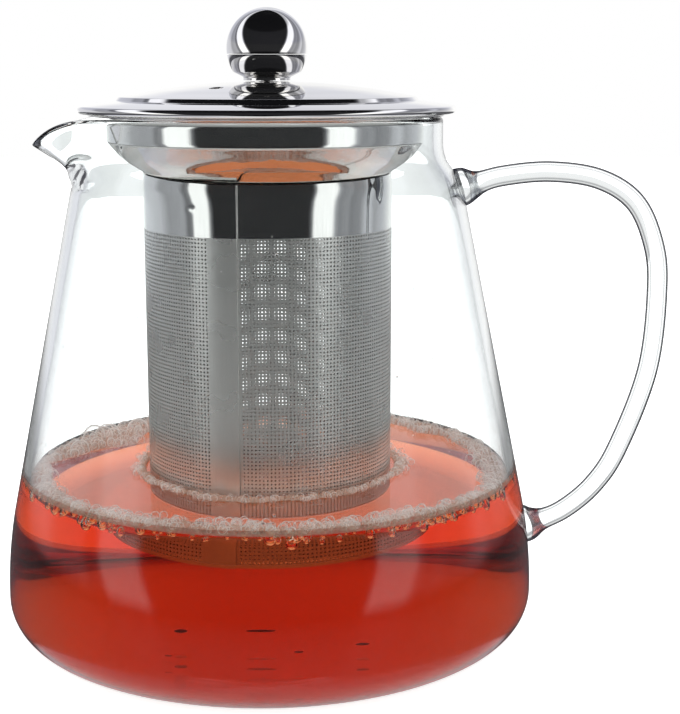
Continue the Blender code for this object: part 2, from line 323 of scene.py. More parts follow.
def brewedTea():
    # brewed tea: clear liquid whose colour is all in its depth, orange where thin and brown where thick
    material, tree, where = newMaterial("brewedTea")
    ripple = noise(tree, where, finishes["teaRipple"], detail=0.0)
    liquid = principled(tree, ior=finishes["teaIor"], roughness=0.0, transmission=1.0,
                        baseColor=mixed(tree, ripple, ("#fffaf4", "#fffdfa")),
                        normal=uneven(tree, ripple, strength=0.04, depth=0.5))
    return closeMaterial(material, liquid, absorbing(tree, finishes["teaColour"], finishes["teaDensity"]))


def clearDrop(name, ior, size, tints):
    # a small body of water or air that bends light, with clouds of size mm in its tint
    material, tree, where = newMaterial(name)
    tint = mixed(tree, noise(tree, where, size), tints)
    return closeMaterial(material, principled(tree, roughness=0.0, ior=ior, transmission=1.0, baseColor=tint))


def mirrorSteel():
    # spun and buffed stainless steel: a mirror with faint rings left by the buffing wheel
    material, tree, where = newMaterial("mirrorPolishedStainless")
    rings = addNode(tree, "TexWave", {
        "wave_type": "RINGS", "rings_direction": "Z", "Scale": 1 / (finishes["mirrorRings"] * mm),
        "Distortion": 2.0, "Detail": 2.0, "Vector": where}).outputs["Fac"]
    roughness = finishes["mirrorRoughness"]
    steel = principled(tree, metallic=1.0, baseColor=mixed(tree, rings, ("#e9e8e6", "#efeeec")),
                       roughness=stretched(tree, rings, roughness * 0.6, roughness * 1.5),
                       normal=uneven(tree, rings, strength=0.02, depth=0.05))
    return closeMaterial(material, steel)


def rolledSteel(name, roughness, metallic=1.0):
    # cold-rolled and electropolished stainless sheet: bright, with a fine upright grain
    material, tree, where = newMaterial(name)
    upright = addNode(tree, "Mapping", {"Scale": (1.0, 1.0, 0.04), "Vector": where})
    grain = noise(tree, upright.outputs["Vector"], finishes["grainSpacing"])
    cloud = noise(tree, where, finishes["rolledCloud"])
    steel = principled(tree, metallic=metallic, baseColor=mixed(tree, grain, ("#d9d8d6", "#e4e3e1")),
                       roughness=stretched(tree, cloud, roughness * 0.7, roughness * 1.4),
                       normal=uneven(tree, grain, strength=0.025, depth=0.05))
    return closeMaterial(material, steel)


def teaFoam():
    # the mass of tiny bubbles under the large ones: milky and pinkish from the tea below it, with a faint
    # painted glow that brightens it though no lamp lights it so
    material, tree, where = newMaterial("teaFoam")
    cells = addNode(tree, "TexVoronoi",
                    {"Scale": 1 / (finishes["foamCell"] * mm), "Vector": where}).outputs["Distance"]
    # painted light: the foam glows faintly in its light tint
    milk = principled(tree, roughness=0.5, specular=0.2, glowColor=linear(finishes["foamTints"][0]), glow=0.1,
                      baseColor=mixed(tree, cells, finishes["foamTints"]),
                      normal=uneven(tree, cells, strength=0.12, depth=0.2, invert=True))
    return closeMaterial(material, layered(tree, finishes["foamCover"], transparent(tree, "#fff4ea"), milk))


def bubbleFilm():
    # a bubble's skin: clear face on, a painted bright rim where it turns away: milky and faintly glowing,
    # standing in for the light that a real film mirrors there
    material, tree, where = newMaterial("bubbleFilm")
    tint = mixed(tree, noise(tree, where, 1.5), ("#ffffff", "#f2d6c6"))
    milk = addNode(tree, "BsdfTranslucent", {"Color": tint}).outputs["BSDF"]
    # painted light: the shiny part of the skin glows faintly
    glowingShine = principled(tree, roughness=0.1, glowColor=linear("#ffffff"), glow=0.2, baseColor=tint)
    skin = layered(tree, finishes["filmShine"], milk, glowingShine)
    # painted highlight: the bright skin is mixed in by how far the surface turns away from the eye
    paintedRimShare = stretched(tree, facing(tree), 0.03, 0.95, start=0.3, end=0.8)
    return closeMaterial(material, layered(tree, paintedRimShare, transparent(tree), skin))


def soakedLeaf():
    # soaked bits of tea leaf: dark, ribbed and a little wet
    material, tree, where = newMaterial("soakedTeaLeaf")
    ribs = noise(tree, where, 0.4, detail=3.0)
    tint = mixed(tree, ribs, ("#3a2812", "#8a5a2a"))
    return closeMaterial(material, principled(tree, roughness=0.4, baseColor=tint))


glassFinish = borosilicateGlass("borosilicateGlass", finishes["bodyEdgeShade"])
rodFinish = borosilicateGlass("borosilicateRod", finishes["rodEdgeShade"])
teaFinish = brewedTea()
mirrorFinish = mirrorSteel()
sheetFinish = rolledSteel("electropolishedStainless", finishes["rolledRoughness"] * 0.3)
meshFinish = rolledSteel("perforatedStainless", finishes["perforatedRoughness"], 0.8)
stripFinish = rolledSteel("hazyStainless", finishes["perforatedRoughness"], 0.78)
foamFinish = teaFoam()
filmFinish = bubbleFilm()
airFinish = clearDrop("airUnderTea", 1 / finishes["teaIor"], 2.0, ("#fff6ee", "#ffe9d8"))
waterFinish = clearDrop("condensedWater", 1.333, 3.0, ("#ffffff", "#f2f6f8"))
leafFinish = soakedLeaf()
print("materials made")


# Glass pot

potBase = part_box("glass_body")[0][2]
pot = {
    "wall": 2.3 * mm,
    "footRadius": 57.8 * mm,
    "footPoints": 13,
    "heelRadius": 10.6 * mm,
    "bellyArc": 116.0 * mm,
    "lean": math.radians(11.6),
    "shoulderZ": 113.0 * mm,
    "shoulderPull": 0.55,
    "neckRadius": 44.2 * mm,
    "neckZ": 126.5 * mm,
    "rimZ": 132.3 * mm,
    "beakReach": 60.2 * mm,
    "beakDrop": 7.0 * mm,
    "beakRootZ": 115.5 * mm,
    "beakTipSoftness": math.radians(5.0),
    "beakDropPower": 2.4,
    "steps": 220,
}


def sideRadius(z):
    # outer radius of the straight side
    arcEnd = pot["heelRadius"] + pot["bellyArc"] * math.sin(pot["lean"])
    arcEndRadius = pot["footRadius"] + pot["heelRadius"] - pot["bellyArc"] * (1 - math.cos(pot["lean"]))
    return arcEndRadius - (z - arcEnd) * math.tan(pot["lean"])


def potOutline():
    # outer line from the middle of the foot to the rim: flat, heel arc, belly arc, straight side,
    # a cubic shoulder whose ends follow the side and the neck, and the upright neck
    foot, heel, lean = pot["footRadius"], pot["heelRadius"], pot["lean"]
    count = pot["footPoints"]
    flat = np.stack([np.linspace(0, foot, count + 1)[:-1], np.zeros(count)], -1)
    heelArc = arcPoints((foot, heel), heel, -90, 0, 20)[:-1]
    belly = arcPoints((foot + heel - pot["bellyArc"], heel), pot["bellyArc"], 0, math.degrees(lean), 14)
    top = np.array([pot["neckRadius"], pot["neckZ"]])
    low = np.array([sideRadius(pot["shoulderZ"]), pot["shoulderZ"]])
    side = belly[-1] + (low - belly[-1]) * np.linspace(0, 1, 26)[1:-1, None]
    pull = pot["shoulderPull"] * (pot["neckZ"] - pot["shoulderZ"])
    a = low + np.array([-math.sin(lean), math.cos(lean)]) * pull
    b = top - np.array([0, pull])
    t = np.linspace(0, 1, 18)[:, None]
    shoulder = (1 - t) ** 3 * low + 3 * t * (1 - t) ** 2 * a + 3 * t * t * (1 - t) * b + t**3 * top
    neck = top + np.array([0, pot["rimZ"] - pot["neckZ"]]) * np.linspace(0, 1, 8)[1:, None]
    return np.concatenate([flat, heelArc, belly, side, shoulder, neck])


def withBeak(points):
    # above the beak's root the wall is pushed out to tangents of the neck that meet at the tip, in
    # proportion to the height above the root, and the tip sinks
    x, y, z = points.T
    halfWidth = math.acos(pot["neckRadius"] / pot["beakReach"])
    share = np.clip((z - pot["beakRootZ"]) / (pot["rimZ"] - pot["beakRootZ"]), 0, 1.1)
    turn = np.hypot(np.arctan2(y, -x), pot["beakTipSoftness"]) - pot["beakTipSoftness"]
    inside = np.clip(halfWidth - turn, 0, None)
    reach = 1 / np.cos(inside) - 1
    lowered = (reach * pot["neckRadius"] / (pot["beakReach"] - pot["neckRadius"])) ** pot["beakDropPower"]
    scale = 1 + share * reach
    return np.stack([x * scale, y * scale, z - share * pot["beakDrop"] * lowered], -1)


outline = potOutline()
inward = normals2d(outline)
innerLine = outline + inward * pot["wall"]
innerLine[0, 0] = 0.0
halfWall = pot["wall"] / 2
keepOuter = outline[:, 1] < pot["rimZ"] - halfWall
keepInner = innerLine[:, 1] < pot["rimZ"] - halfWall
rimArc = arcPoints((pot["neckRadius"] - halfWall, pot["rimZ"] - halfWall), halfWall, 0, 180, 11)
potLine = np.concatenate([outline[keepOuter], rimArc, innerLine[keepInner][::-1]])
potLine[:, 1] += potBase
potPoints, potFaces = turned(potLine, pot["steps"])
addPiece("teapot_glass_body", withBeak(potPoints), potFaces, glassFinish, "pot", ["glass_body"], "glass",
         sharp=0)


# Glass handle

handle = {
    "rodRadius": 2.65 * mm,
    "padSpread": 0.85,       # extra rod radii where it is fused on
    "padLength": 3.4 * mm,
    "sink": 1.5 * mm,        # how far the ends are melted into the wall
    "upperZ": 114.6 * mm,
    "lowerZ": 25.5 * mm,
    "bends": [(59.5, 117.3), (71.6, 118.4), (84.0, 116.6), (93.2, 111.0), (98.2, 101.3), (100.0, 89.4),
              (98.4, 67.5), (91.3, 46.4), (85.2, 36.2), (77.4, 29.3)],  # x and z, mm
    "rings": 190,
    "round": 28,
}


def smoothLine(points, count):
    # one cubic per gap through the given points, its end slopes half the step between their neighbours
    points = np.asarray(points, float)
    slopes = np.gradient(points, axis=0)
    span = np.linspace(0, len(points) - 1 - 1e-9, count)
    k = span.astype(int)
    t = (span - k)[:, None]
    p, q, m, n = points[k], points[k + 1], slopes[k], slopes[k + 1]
    return ((2 * t**3 - 3 * t**2 + 1) * p + (t**3 - 2 * t**2 + t) * m
            + (-2 * t**3 + 3 * t**2) * q + (t**3 - t**2) * n)


def outerRadiusAt(z):
    wallLine = outline[pot["footPoints"]:]
    return float(np.interp(z, wallLine[:, 1], wallLine[:, 0]))


def rodPiece():
    # circles carried along the bent centre line, wider towards both ends by a bell curve
    upper = np.array([outerRadiusAt(handle["upperZ"]), handle["upperZ"]])
    lower = np.array([outerRadiusAt(handle["lowerZ"]), handle["lowerZ"]])
    out = np.array([math.cos(pot["lean"]), math.sin(pot["lean"])])
    bends = [np.array(p) * mm for p in handle["bends"]]
    line = smoothLine([upper - out * handle["sink"], upper + out * handle["rodRadius"], *bends,
                       lower + out * handle["rodRadius"], lower - out * handle["sink"]], handle["rings"])
    side = normals2d(line)
    along = np.concatenate([[0], np.cumsum(np.linalg.norm(np.diff(line, axis=0), axis=1))])
    fromEnd = np.clip(np.minimum(along, along[-1] - along) - handle["sink"], 0, None)
    radius = handle["rodRadius"] * (1 + handle["padSpread"] * np.exp(-(fromEnd / handle["padLength"]) ** 2))
    a = np.arange(handle["round"]) * 2 * math.pi / handle["round"]
    offset = side[:, None, :] * np.cos(a)[None, :, None] * radius[:, None, None]
    x = line[:, None, 0] + offset[..., 0]
    z = line[:, None, 1] + offset[..., 1] + potBase
    y = radius[:, None] * np.sin(a)[None, :]
    rings = np.stack([x, y, z], -1).reshape(-1, 3)
    ends = np.array([[line[0, 0], 0, line[0, 1] + potBase], [line[-1, 0], 0, line[-1, 1] + potBase]])
    n, m = x.shape
    index = np.arange(n * m).reshape(n, m)
    index = np.concatenate([np.full((1, m), n * m), index, np.full((1, m), n * m + 1)], 0)
    return np.concatenate([rings, ends]), gridFaces(closedGrid(index))


addPiece("handle_glass_rod", *rodPiece(), rodFinish, "pot", ["glass_handle"], "glass", sharp=60)
print("glass made")


# Infuser: flange, collar and cone from one sheet

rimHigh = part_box("infuser_rim")[1]
wallLow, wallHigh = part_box("basket_wall")
infuser = {
    "sheet": 0.6 * mm,
    "flangeRadius": rimHigh[0],
    "collarRadius": 39.4 * mm,
    "collarDepth": 6.5 * mm,
    "coneDepth": 15.2 * mm,
    "spigotDepth": 6.0 * mm,
    "basketRadius": 31.5 * mm,
    "basketSheet": 0.45 * mm,
    "gap": 0.3 * mm,
    "bends": (0.9 * mm, 0.9 * mm, 0.5 * mm, 0.25 * mm),
    "coneBulge": 0.45 * mm,
    "bulgeAt": (0.74, -0.67),    # direction of the bulge, outwards and up
    "steps": 240,
}
seat = rimHigh[2] - infuser["sheet"]
spigotRadius = infuser["basketRadius"] - infuser["basketSheet"] - infuser["gap"]
rimCorners = [
    (infuser["flangeRadius"] - infuser["sheet"] / 2, 0.0),
    (infuser["collarRadius"], 0.0),
    (infuser["collarRadius"], -infuser["collarDepth"]),
    (infuser["basketRadius"], -infuser["coneDepth"]),
    (spigotRadius, -infuser["coneDepth"] - infuser["gap"]),
    (spigotRadius, -infuser["coneDepth"] - infuser["spigotDepth"]),
]
rimPath = subdivided(roundedPath(np.array(rimCorners) + [0, seat], infuser["bends"], 6), 0.8 * mm)
coneHeight = infuser["coneDepth"] - infuser["collarDepth"]
downCone = np.clip((seat - infuser["collarDepth"] - rimPath[:, 1]) / coneHeight, 0, 1)
rimPath += np.outer(np.sin(downCone * math.pi) ** 1.5 * infuser["coneBulge"], infuser["bulgeAt"])
rimLoop = sheetLoop(rimPath[::-1], infuser["sheet"])
addPiece("infuser_flange_and_cone", *turned(rimLoop, infuser["steps"], closed=True), sheetFinish,
         "infuser", ["infuser_rim"], "polished_steel")


# Basket: a rolled sheet with square-set holes

basket = {
    "radius": infuser["basketRadius"],
    "sheet": infuser["basketSheet"],
    "top": wallHigh[2],
    "bottom": wallLow[2],
    "lapFrom": math.radians(-22.8),
    "lapTo": math.radians(-10.6),
    "lapRise": 0.7 * mm,
    "lapRamp": math.radians(30.0),
    "pitch": 0.94 * mm,
    "hole": 0.54 * mm,
    "holesTop": 104.8 * mm,
    "holesRows": 84,
    "plainMargin": math.radians(0.9),
    "weldAngle": math.radians(-13.2),
    "weldSpacing": 6.6 * mm,
    "weldSize": 0.75 * mm,
    "weldDepth": 0.16 * mm,
    "topWeldZ": 111.6 * mm,
    "topWelds": 8,
    "topShare": 0.5,         # of the depth of the lap's welds
    "parts": 4,
}


def weldDepth(angle, z):
    # spot welds are bell-shaped dents: a column of them near the sheet's outer edge, a ring near the top
    across = (angle - basket["weldAngle"]) * basket["radius"]
    up = (z / basket["weldSpacing"]) % 1 * basket["weldSpacing"] - basket["weldSpacing"] / 2
    column = np.exp(-(across**2 + up**2) / basket["weldSize"] ** 2)
    gap = 2 * math.pi / basket["topWelds"]
    sideways = ((angle + gap * 0.2) % gap - gap / 2) * basket["radius"]
    ring = np.exp(-(sideways**2 + (z - basket["topWeldZ"]) ** 2) / basket["weldSize"] ** 2)
    return basket["weldDepth"] * (column + basket["topShare"] * ring)


def rolled(angle, z, depth):
    # the sheet's skin: a circle that climbs outwards near the end of its turn; depth goes inwards
    turnedBy = angle - basket["lapFrom"]
    ramp = np.clip((turnedBy - (2 * math.pi - basket["lapRamp"])) / basket["lapRamp"], 0, 1)
    radius = basket["radius"] + basket["lapRise"] * ramp * ramp * (3 - 2 * ramp) - depth - weldDepth(angle, z)
    return np.stack([radius * np.sin(angle), -radius * np.cos(angle), z + 0 * angle], -1)


def outlineQuads(corner, layer):
    # strips through the thickness round the outline of a sheet's grid
    edge = np.concatenate([corner[:, 0], corner[-1, 1:], corner[-2::-1, -1], corner[0, -2:0:-1]])
    nextEdge = np.roll(edge, -1)
    return np.stack([edge, edge + layer, nextEdge + layer, nextEdge], -1)


def holedSheet(angles, heights):
    # every cell of the grid is a square with an eight-sided hole: four strips and four corner
    # triangles on each skin, and eight strips through the thickness; the outline is closed too
    nu, nv = len(angles) - 1, len(heights) - 1
    au, hv = np.meshgrid(angles, heights, indexing="ij")
    cu, cv = np.meshgrid((angles[1:] + angles[:-1]) / 2, (heights[1:] + heights[:-1]) / 2, indexing="ij")
    a8 = np.radians(22.5 + 45 * np.arange(8))
    ou = cu[..., None] + basket["hole"] / 2 / basket["radius"] * np.cos(a8)
    ov = cv[..., None] + basket["hole"] / 2 * np.sin(a8)
    nCorner, nHole = au.size, ou.size
    points = np.concatenate([rolled(u.ravel(), v.ravel(), d) for d in (0.0, basket["sheet"])
                             for u, v in ((au, hv), (ou, ov))])
    layer = nCorner + nHole
    corner = np.arange(nCorner).reshape(nu + 1, nv + 1)
    hole = nCorner + np.arange(nHole).reshape(nu, nv, 8)
    sw, se = corner[:-1, :-1], corner[1:, :-1]
    nw, ne = corner[:-1, 1:], corner[1:, 1:]
    quads = [np.stack([a, b, hole[..., i], hole[..., j]], -1) for a, b, i, j in
             ((se, ne, 0, 7), (ne, nw, 2, 1), (nw, sw, 4, 3), (sw, se, 6, 5))]
    tris = [np.stack([c, hole[..., i], hole[..., j]], -1) for c, i, j in
            ((ne, 1, 0), (nw, 3, 2), (sw, 5, 4), (se, 7, 6))]
    quads = np.concatenate([q.reshape(-1, 4) for q in quads])
    tris = np.concatenate([q.reshape(-1, 3) for q in tris])
    through = np.stack([hole, np.roll(hole, -1, -1), np.roll(hole, -1, -1) + layer, hole + layer], -1)
    return points, [quads, quads[:, ::-1] + layer, tris, tris[:, ::-1] + layer,
                    through.reshape(-1, 4), outlineQuads(corner, layer)]


def plainSheet(angles, heights):
    # the same skin without holes
    au, hv = np.meshgrid(angles, heights, indexing="ij")
    points = np.concatenate([rolled(au.ravel(), hv.ravel(), d) for d in (0.0, basket["sheet"])])
    corner = np.arange(au.size).reshape(au.shape)
    quads = gridQuads(corner).reshape(-1, 4)
    return points, [quads, quads[:, ::-1] + au.size, outlineQuads(corner, au.size)]


def joined(parts):
    # several point and face sets as one
    points, faces, start = [], [], 0
    for p, f in parts:
        points.append(p)
        faces += [x + start for x in f]
        start += len(p)
    return np.concatenate(points), faces


holesFrom = basket["lapTo"] + basket["plainMargin"]
holesTo = 2 * math.pi + basket["lapFrom"] - basket["plainMargin"]
columns = int((holesTo - holesFrom) * basket["radius"] / basket["pitch"])
columnEdges = np.linspace(holesFrom, holesTo, columns + 1)
rowEdges = basket["holesTop"] - basket["pitch"] * np.arange(basket["holesRows"] + 1)[::-1]
cuts = np.linspace(0, columns, basket["parts"] + 1).astype(int)
for number, (start, end) in enumerate(zip(cuts, cuts[1:]), 1):
    addPiece(f"basket_holes_{number}", *holedSheet(columnEdges[start:end + 1], rowEdges), meshFinish,
             "infuser", ["basket_wall"], "perforated_steel")
lapStart = np.linspace(basket["lapFrom"], holesFrom, 44)
lapEnd = np.linspace(holesTo, 2 * math.pi + basket["lapTo"], 14)
allAngles = np.concatenate([lapStart[:-1], columnEdges[:-1], lapEnd])
upperBand = np.linspace(rowEdges[-1], basket["top"], 40)
stripRows = np.linspace(rowEdges[0], rowEdges[-1], 320)
lowerBand = np.linspace(basket["bottom"], rowEdges[0], 3)
strips = joined([plainSheet(lapStart, stripRows), plainSheet(lapEnd, rowEdges[::4])])
addPiece("basket_seam_strip", *strips, stripFinish, "infuser", ["basket_wall"], "perforated_steel")
plainBands = joined([plainSheet(allAngles, upperBand), plainSheet(allAngles, lowerBand)])
addPiece("basket_plain_bands", *plainBands, sheetFinish, "infuser", ["basket_wall"], "perforated_steel")


# Basket base: a shallow cup inside the wall

baseLow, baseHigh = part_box("basket_base")
base = {"corner": 1.8 * mm, "rise": 0.5 * mm, "riseFrom": 24 * mm, "riseWidth": 12 * mm, "steps": 160}
cupCorners = [(0, baseLow[2]), (baseHigh[0], baseLow[2]), (baseHigh[0], baseHigh[2])]
cupPath = subdivided(roundedPath(cupCorners, [base["corner"]], 8), 1.0 * mm)
cupPath[:, 1] += base["rise"] * np.clip((base["riseFrom"] - cupPath[:, 0]) / base["riseWidth"], 0, 1)
cupInner = cupPath + normals2d(cupPath) * basket["sheet"]
cupInner[0, 0] = 0.0
cup = turned(np.concatenate([cupPath, cupInner[::-1]]), base["steps"])
addPiece("basket_base_cup", *cup, sheetFinish, "infuser", ["basket_base"], "perforated_steel")
print("infuser made")


# Lid: dome, step, brim and turned-under lip

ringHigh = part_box("lid_ring")[1]
plug = {"radius": 38.2 * mm, "depth": 6.5 * mm, "flange": ringHigh[0], "sheet": 0.8 * mm, "bend": 0.9 * mm}
lidSeat = ringHigh[2] - plug["sheet"]
lid = {
    "sheet": 0.6 * mm,
    "domeTop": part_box("lid_cover")[1][2],
    "domeRise": 3.9 * mm,
    "domeRadius": 38.2 * mm,
    "domeStep": 0.8 * mm,
    "edgeZ": 1.65 * mm,
    "drop": 1.15 * mm,
    "stepBend": 0.35 * mm,
    "lipRadius": 1.0 * mm,
    "radius": 47.5 * mm,
    "screwHole": 2.4 * mm,
    "vent": 1.7 * mm,
    "ventDip": 0.12 * mm,
    "ventAt": (-11.1 * mm, -20.0 * mm),
    "steps": 240,
    "windowSteps": 7,        # grid columns on each side of the vent
    "windowReach": 4.2 * mm,
}


def domeHeight(r):
    return lid["domeTop"] - lid["domeRise"] * (r / lid["domeRadius"]) ** 2


def lidCover():
    # polar grid of the cover's skin; the cells round the vent are left out, and a ring of rows that
    # runs from the window's outline to the vent's circle fills them
    domeEdge = lid["domeRadius"] - lid["domeStep"]
    r = np.linspace(lid["screwHole"], domeEdge - 0.5 * mm, 44)
    dome = np.stack([r, domeHeight(r)], -1)
    foot = lid["edgeZ"] + lid["drop"] + lidSeat
    lipCentre = (lid["radius"] - lid["lipRadius"], lid["edgeZ"] + lidSeat - lid["lipRadius"])
    lip = arcPoints(lipCentre, lid["lipRadius"], 75, -60, 12)
    step = roundedPath([dome[-1], (domeEdge, domeHeight(domeEdge)), (lid["domeRadius"], foot), lip[0]],
                       [lid["stepBend"]] * 2, 6)
    profile = np.concatenate([dome, subdivided(step[1:-1], 1 * mm), lip])
    ventRadius = math.hypot(*lid["ventAt"])
    first = math.atan2(lid["ventAt"][1], lid["ventAt"][0]) - lid["windowSteps"] * 2 * math.pi / lid["steps"]
    points, _ = turned(profile, lid["steps"], first=first)
    n, m = len(profile), lid["steps"]
    index = closedGrid(np.arange(n * m).reshape(n, m))
    i0 = int(np.argmin(abs(r - (ventRadius - lid["windowReach"]))))
    i1 = int(np.argmin(abs(r - (ventRadius + lid["windowReach"]))))
    j1 = 2 * lid["windowSteps"]
    quads = gridQuads(index)
    keep = np.ones(quads.shape[:2], bool)
    keep[i0:i1, 0:j1] = False
    outer = np.concatenate([index[i0, 0:j1], index[i0:i1, j1], index[i1, j1:0:-1], index[i1:i0:-1, 0]])
    edge = points[outer, :2]
    vent = np.array(lid["ventAt"])
    toEdge = edge - vent
    circle = vent + toEdge / np.linalg.norm(toEdge, axis=1)[:, None] * lid["vent"]
    t = np.linspace(0, 1, 9)[:-1, None, None] ** 1.5
    rows = circle * (1 - t) + edge * t
    height = domeHeight(np.linalg.norm(rows, axis=-1))
    height[0] -= lid["ventDip"]
    rows = np.concatenate([rows, height[..., None]], -1)
    patch = len(points) + np.arange(rows.shape[0] * rows.shape[1]).reshape(rows.shape[:2])
    patch = closedGrid(np.concatenate([patch, outer[None, :]], 0))
    ring = gridQuads(patch).reshape(-1, 4)
    return np.concatenate([points, rows.reshape(-1, 3)]), [quads[keep].reshape(-1, 4), ring[:, ::-1]]


cover = addPiece("lid_dome_cover", *lidCover(), mirrorFinish, "lid", ["lid_cover"], "mirror_steel",
                 closed=False, sharp=50)
thickness = cover.modifiers.new("sheetThickness", "SOLIDIFY")
thickness.thickness = lid["sheet"]
thickness.offset = -1
thickness.use_even_offset = True

plugCorners = [(plug["flange"] - plug["sheet"] / 2, 0), (plug["radius"], 0),
               (plug["radius"], -plug["depth"] + plug["sheet"] / 2)]
plugPath = roundedPath(np.array(plugCorners) + [0, lidSeat], [plug["bend"]], 8)
plugLoop = sheetLoop(subdivided(plugPath, 1.5 * mm)[::-1], plug["sheet"])
addPiece("lid_plug_ring", *turned(plugLoop, lid["steps"], closed=True), sheetFinish, "lid", ["lid_ring"],
         "satin_steel")


# Knob: two shells of a ball on a short neck

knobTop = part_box("knob_cap")[1][2]
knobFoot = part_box("knob_bowl")[0][2]
knob = {
    "ball": 10.2 * mm,
    "sheet": 0.5 * mm,
    "seamBelow": 1.2 * mm,
    "throatBelow": 5.7 * mm,
    "neck": 6.0 * mm,
    "neckHeight": 0.8 * mm,
    "neckBend": 0.5 * mm,
    "gap": 0.3 * mm,
    "steps": 160,
}
ballZ = knobTop - knob["ball"]
seamAngle, bowlAngle, throatAngle = [
    -math.degrees(math.asin(below / knob["ball"]))
    for below in (knob["seamBelow"], knob["seamBelow"] + knob["gap"], knob["throatBelow"])]
capSkin = arcPoints((0, ballZ), knob["ball"], 90, seamAngle, 60)
capSkin[0, 0] = 0.0
capInner = arcPoints((0, ballZ), knob["ball"] - knob["sheet"], seamAngle, 90, 40)
capInner[-1, 0] = 0.0
cap = turned(np.concatenate([capSkin, capInner]), knob["steps"])
addPiece("knob_upper_shell", *cap, mirrorFinish, "lid", ["knob_cap"], "mirror_steel")
bowlSkin = arcPoints((0, ballZ), knob["ball"], bowlAngle, throatAngle, 26)
neckCorners = [bowlSkin[-1], (knob["neck"], knobFoot + knob["neckHeight"]), (knob["neck"], knobFoot)]
bowlSkin = np.concatenate([bowlSkin, roundedPath(neckCorners, [knob["neckBend"]], 8)[1:]])
bowlInner = bowlSkin - normals2d(bowlSkin) * knob["sheet"]
bowl = turned(np.concatenate([bowlSkin, bowlInner[::-1]]), knob["steps"], closed=True)
addPiece("knob_lower_shell", *bowl, mirrorFinish, "lid", ["knob_bowl"], "mirror_steel")

for node in ("knob_boss", "lid_screw", "lid_washer"):
    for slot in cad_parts[node].material_slots:
        slot.material = sheetFinish
print("lid made")


# Tea

tea = {
    "surface": 42.0 * mm,
    "overlap": 0.25 * mm,    # into the wall, so that no air film shows between tea and glass
    "meniscus": 1.2 * mm,
    "meniscusWidth": 1.6 * mm,
    "steps": 200,
}
wet = outline + inward * (pot["wall"] - tea["overlap"])
wet[0, 0] = 0.0
wetWall = wet[pot["footPoints"] + 1:]


def wetRadiusAt(z):
    return np.interp(z, wetWall[:, 1], wetWall[:, 0])


wetTop = tea["surface"] + tea["meniscus"]
wetSide = wet[wet[:, 1] < wetTop - 0.5 * mm]
edgeRadius = float(wetRadiusAt(wetTop))
fromWall = np.concatenate([np.linspace(0, 5, 12), np.linspace(6, edgeRadius / mm, 30)]) * mm
surfaceZ = tea["surface"] + tea["meniscus"] * np.exp(-fromWall / tea["meniscusWidth"])
surfaceLine = np.stack([edgeRadius - fromWall, surfaceZ], -1)
surfaceLine[-1, 0] = 0.0
teaLine = np.concatenate([wetSide, surfaceLine])
teaLine[:, 1] += potBase
addPiece("tea_in_pot", *turned(teaLine, tea["steps"]), teaFinish, "pot", sharp=0)


# Foam ring, bubbles, drops and leaf bits

foam = {
    "seed": 7,
    "level": -0.1 * mm,
    "skin": 0.2 * mm,                # least height of the foam's surface
    "edgeSink": 0.3 * mm,            # how far its edges dip into the tea
    "wallGap": 0.12 * mm,
    "wallWidth": 7.0 * mm,
    "patchTurn": math.radians(152),  # a wider patch of foam by the wall
    "patchSpread": 0.30,
    "patchWidth": 9 * mm,
    "basketGap": 1.0 * mm,
    "basketWidth": 3.2 * mm,
    "waves": [(3, 0.24, 0.4), (7, 0.2, 2.0), (19, 0.14, 1.0)],  # per turn, height and start of each wave
    "cellSizes": (0.3, 1.1),         # mm radius of the small bubbles that make the surface
    "wallCells": 2600,
    "basketCells": 700,
    "bubbleSizes": (0.45, 1.35),     # mm radius of the bubbles with a visible skin
    "bubbles": 1900,
    "basketBubbles": 420,
    "basketShare": 0.6,              # their sizes go up to this share of the range
    "patchSizes": (1.4, 3.6),
    "patchBubbles": 16,
    "hangingSizes": (0.5, 1.1),      # mm, the smallest, and what the largest has more
    "hangingDepth": 1.6 * mm,
    "hanging": 240,
    "dropSizes": (0.12, 0.33),       # mm, in the same way
    "dropHeights": (4, 60),          # mm above the tea, lowest, and what the highest has more
    "drops": 80,
}
dice = np.random.default_rng(foam["seed"])


def ballShape(rows, columns):
    # a small ball: sine and cosine of latitude and longitude, poles as one point each
    a = np.linspace(90, -90, rows + 1)
    profile = np.stack([np.cos(np.radians(a)), np.sin(np.radians(a))], -1)
    profile[0, 0] = profile[-1, 0] = 0.0
    return turned(profile, columns)


def manyBalls(centres, radii, rows=5, columns=8):
    # copies of the small ball, all at once: centre + radius * ball point
    points, faces = ballShape(rows, columns)
    copies = centres[:, None, :] + radii[:, None, None] * points[None]
    shift = (np.arange(len(centres)) * len(points))[:, None, None]
    return copies.reshape(-1, 3), [(f[None] + shift).reshape(-1, f.shape[1]) for f in faces if len(f)]


def unevenWidth(turn, width):
    # how wide the foam is at each angle: a sum of waves round the ring, never quite nothing
    waves = 0.8
    for count, height, start in foam["waves"]:
        waves = waves + height * np.sin(count * turn + start)
    return width * np.clip(waves, 0.2, 2)


def wallFoamWidth(turn):
    off = (turn - foam["patchTurn"] + math.pi) % (2 * math.pi) - math.pi
    patch = foam["patchWidth"] * np.exp(-(off / foam["patchSpread"]) ** 2)
    return unevenWidth(turn, foam["wallWidth"]) + patch


def basketFoamWidth(turn):
    return unevenWidth(turn, foam["basketWidth"])


